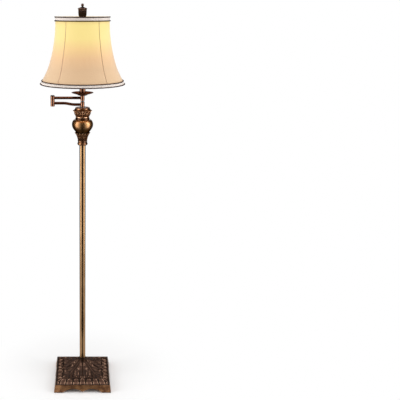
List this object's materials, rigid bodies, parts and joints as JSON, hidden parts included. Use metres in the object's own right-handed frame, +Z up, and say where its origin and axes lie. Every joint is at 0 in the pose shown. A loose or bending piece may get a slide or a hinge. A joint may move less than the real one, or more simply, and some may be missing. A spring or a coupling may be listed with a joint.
{
  "type": "swing arm floor lamp",
  "caption": "Floor lamp with a carved square base, a slim pole, an urn, a two-part swing arm and a bell shade on a harp over a bulb.",
  "frame": {"origin": "on the floor, on the pole's axis, which is the centre of the base", "axes": "+Z up along the pole, the front of the lamp faces -Y, the folded arm's elbow points to -X"},
  "size_m": [0.33, 0.33, 1.5971],
  "materials": {
    "felt": "black felt",
    "carved_bronze": "carved resin, dark brown with rubbed copper highlights",
    "iron": "rough casting",
    "zinc_steel": "plated steel",
    "inlet_rubber": "moulded black bush",
    "pole_bronze": "satin antique bronze",
    "urn_bronze": "soft satin antique gold bronze",
    "carved_gold": "carved resin, gold bronze with dark wash",
    "arm_bronze": "brushed copper bronze",
    "cap_dark": "dark bronze",
    "pan_bronze": "dark bronze",
    "lead_black": "insulated lead",
    "nylon": "nylon washer",
    "harp_brass": "polished brass plate",
    "socket_brass": "brass plate",
    "paper_liner": "paper sleeve",
    "phenolic": "moulded black core",
    "knob_black": "moulded black knob",
    "bulb_metal": "rolled metal base",
    "bulb_white": "white bulb body",
    "bulb_frost": "frosted globe",
    "shade_fabric": "cream faux silk over white lining",
    "ribbon_cream": "cream ribbon",
    "piping_brown": "dark brown corded piping",
    "seam_tan": "tan seam cord",
    "frame_white": "white painted wire",
    "finial_bronze": "cast dark bronze with copper highlights"
  },
  "bodies": {
    "base": {"felt_feet": "felt", "base_casting": "carved_bronze", "base_weight": "iron", "weight_clamp_washer": "zinc_steel", "base_lock_nut": "zinc_steel", "base_nipple": "zinc_steel", "cord_inlet_bushing": "inlet_rubber", "pole_foot_collar": "carved_bronze", "lower_pole": "pole_bronze", "middle_pole": "pole_bronze", "upper_pole": "pole_bronze", "pole_inserts": "zinc_steel", "pole_lead": "lead_black", "urn_foot_ring": "urn_bronze", "acanthus_cup": "carved_gold", "urn_bowl": "urn_bronze", "urn_neck_ring": "urn_bronze", "leaf_collar": "carved_gold", "urn_cap": "urn_bronze", "urn_center_pipe": "zinc_steel", "pivot_stud": "zinc_steel", "pivot_retainer": "zinc_steel", "pivot_friction_washer": "nylon"},
    "lower_arm": {"lower_pivot_barrel": "arm_bronze", "pivot_cap": "cap_dark", "lower_arm_tube": "arm_bronze", "lower_arm_lead": "lead_black", "elbow_lower_barrel": "arm_bronze", "elbow_stud": "zinc_steel", "elbow_retainer": "zinc_steel", "elbow_friction_washer": "nylon"},
    "upper_arm": {"elbow_upper_barrel": "arm_bronze", "elbow_cap": "cap_dark", "upper_arm_tube": "arm_bronze", "upper_arm_lead": "lead_black", "end_barrel": "arm_bronze", "end_barrel_screw": "cap_dark", "end_nipple": "zinc_steel", "pan_cup": "pan_bronze", "drip_pan": "pan_bronze", "socket_cover": "arm_bronze", "harp_saddle": "harp_brass", "harp": "harp_brass", "harp_sleeves": "harp_brass", "harp_stud": "harp_brass", "socket_cap": "socket_brass", "socket_shell": "socket_brass", "socket_sleeve": "paper_liner", "socket_core": "phenolic", "bulb_screw": "bulb_metal", "bulb_housing": "bulb_white", "bulb_globe": "bulb_frost", "shade_panels": "shade_fabric", "shade_bands": "ribbon_cream", "shade_piping": "piping_brown", "shade_seam_piping": "seam_tan", "shade_ribs": "frame_white", "shade_spider": "frame_white", "finial": "finial_bronze"},
    "switch_knob": {"switch_knob": "knob_black"}
  },
  "joints": [
    {"name": "pole_swing", "type": "hinge", "parent": "base", "child": "lower_arm", "pos_m": [0, 0, 1.2169], "axis": [0, 0, 1], "range_deg": [-180, 180]},
    {"name": "elbow_swing", "type": "hinge", "parent": "lower_arm", "child": "upper_arm", "pos_m": [-0.117, 0, 1.2313], "axis": [0, 0, 1], "range_deg": [-180, 180]},
    {"name": "switch_turn", "type": "hinge", "parent": "upper_arm", "child": "switch_knob", "pos_m": [0.022, 0, 1.3323], "axis": [1, 0, 0], "continuous": true}
  ]
}
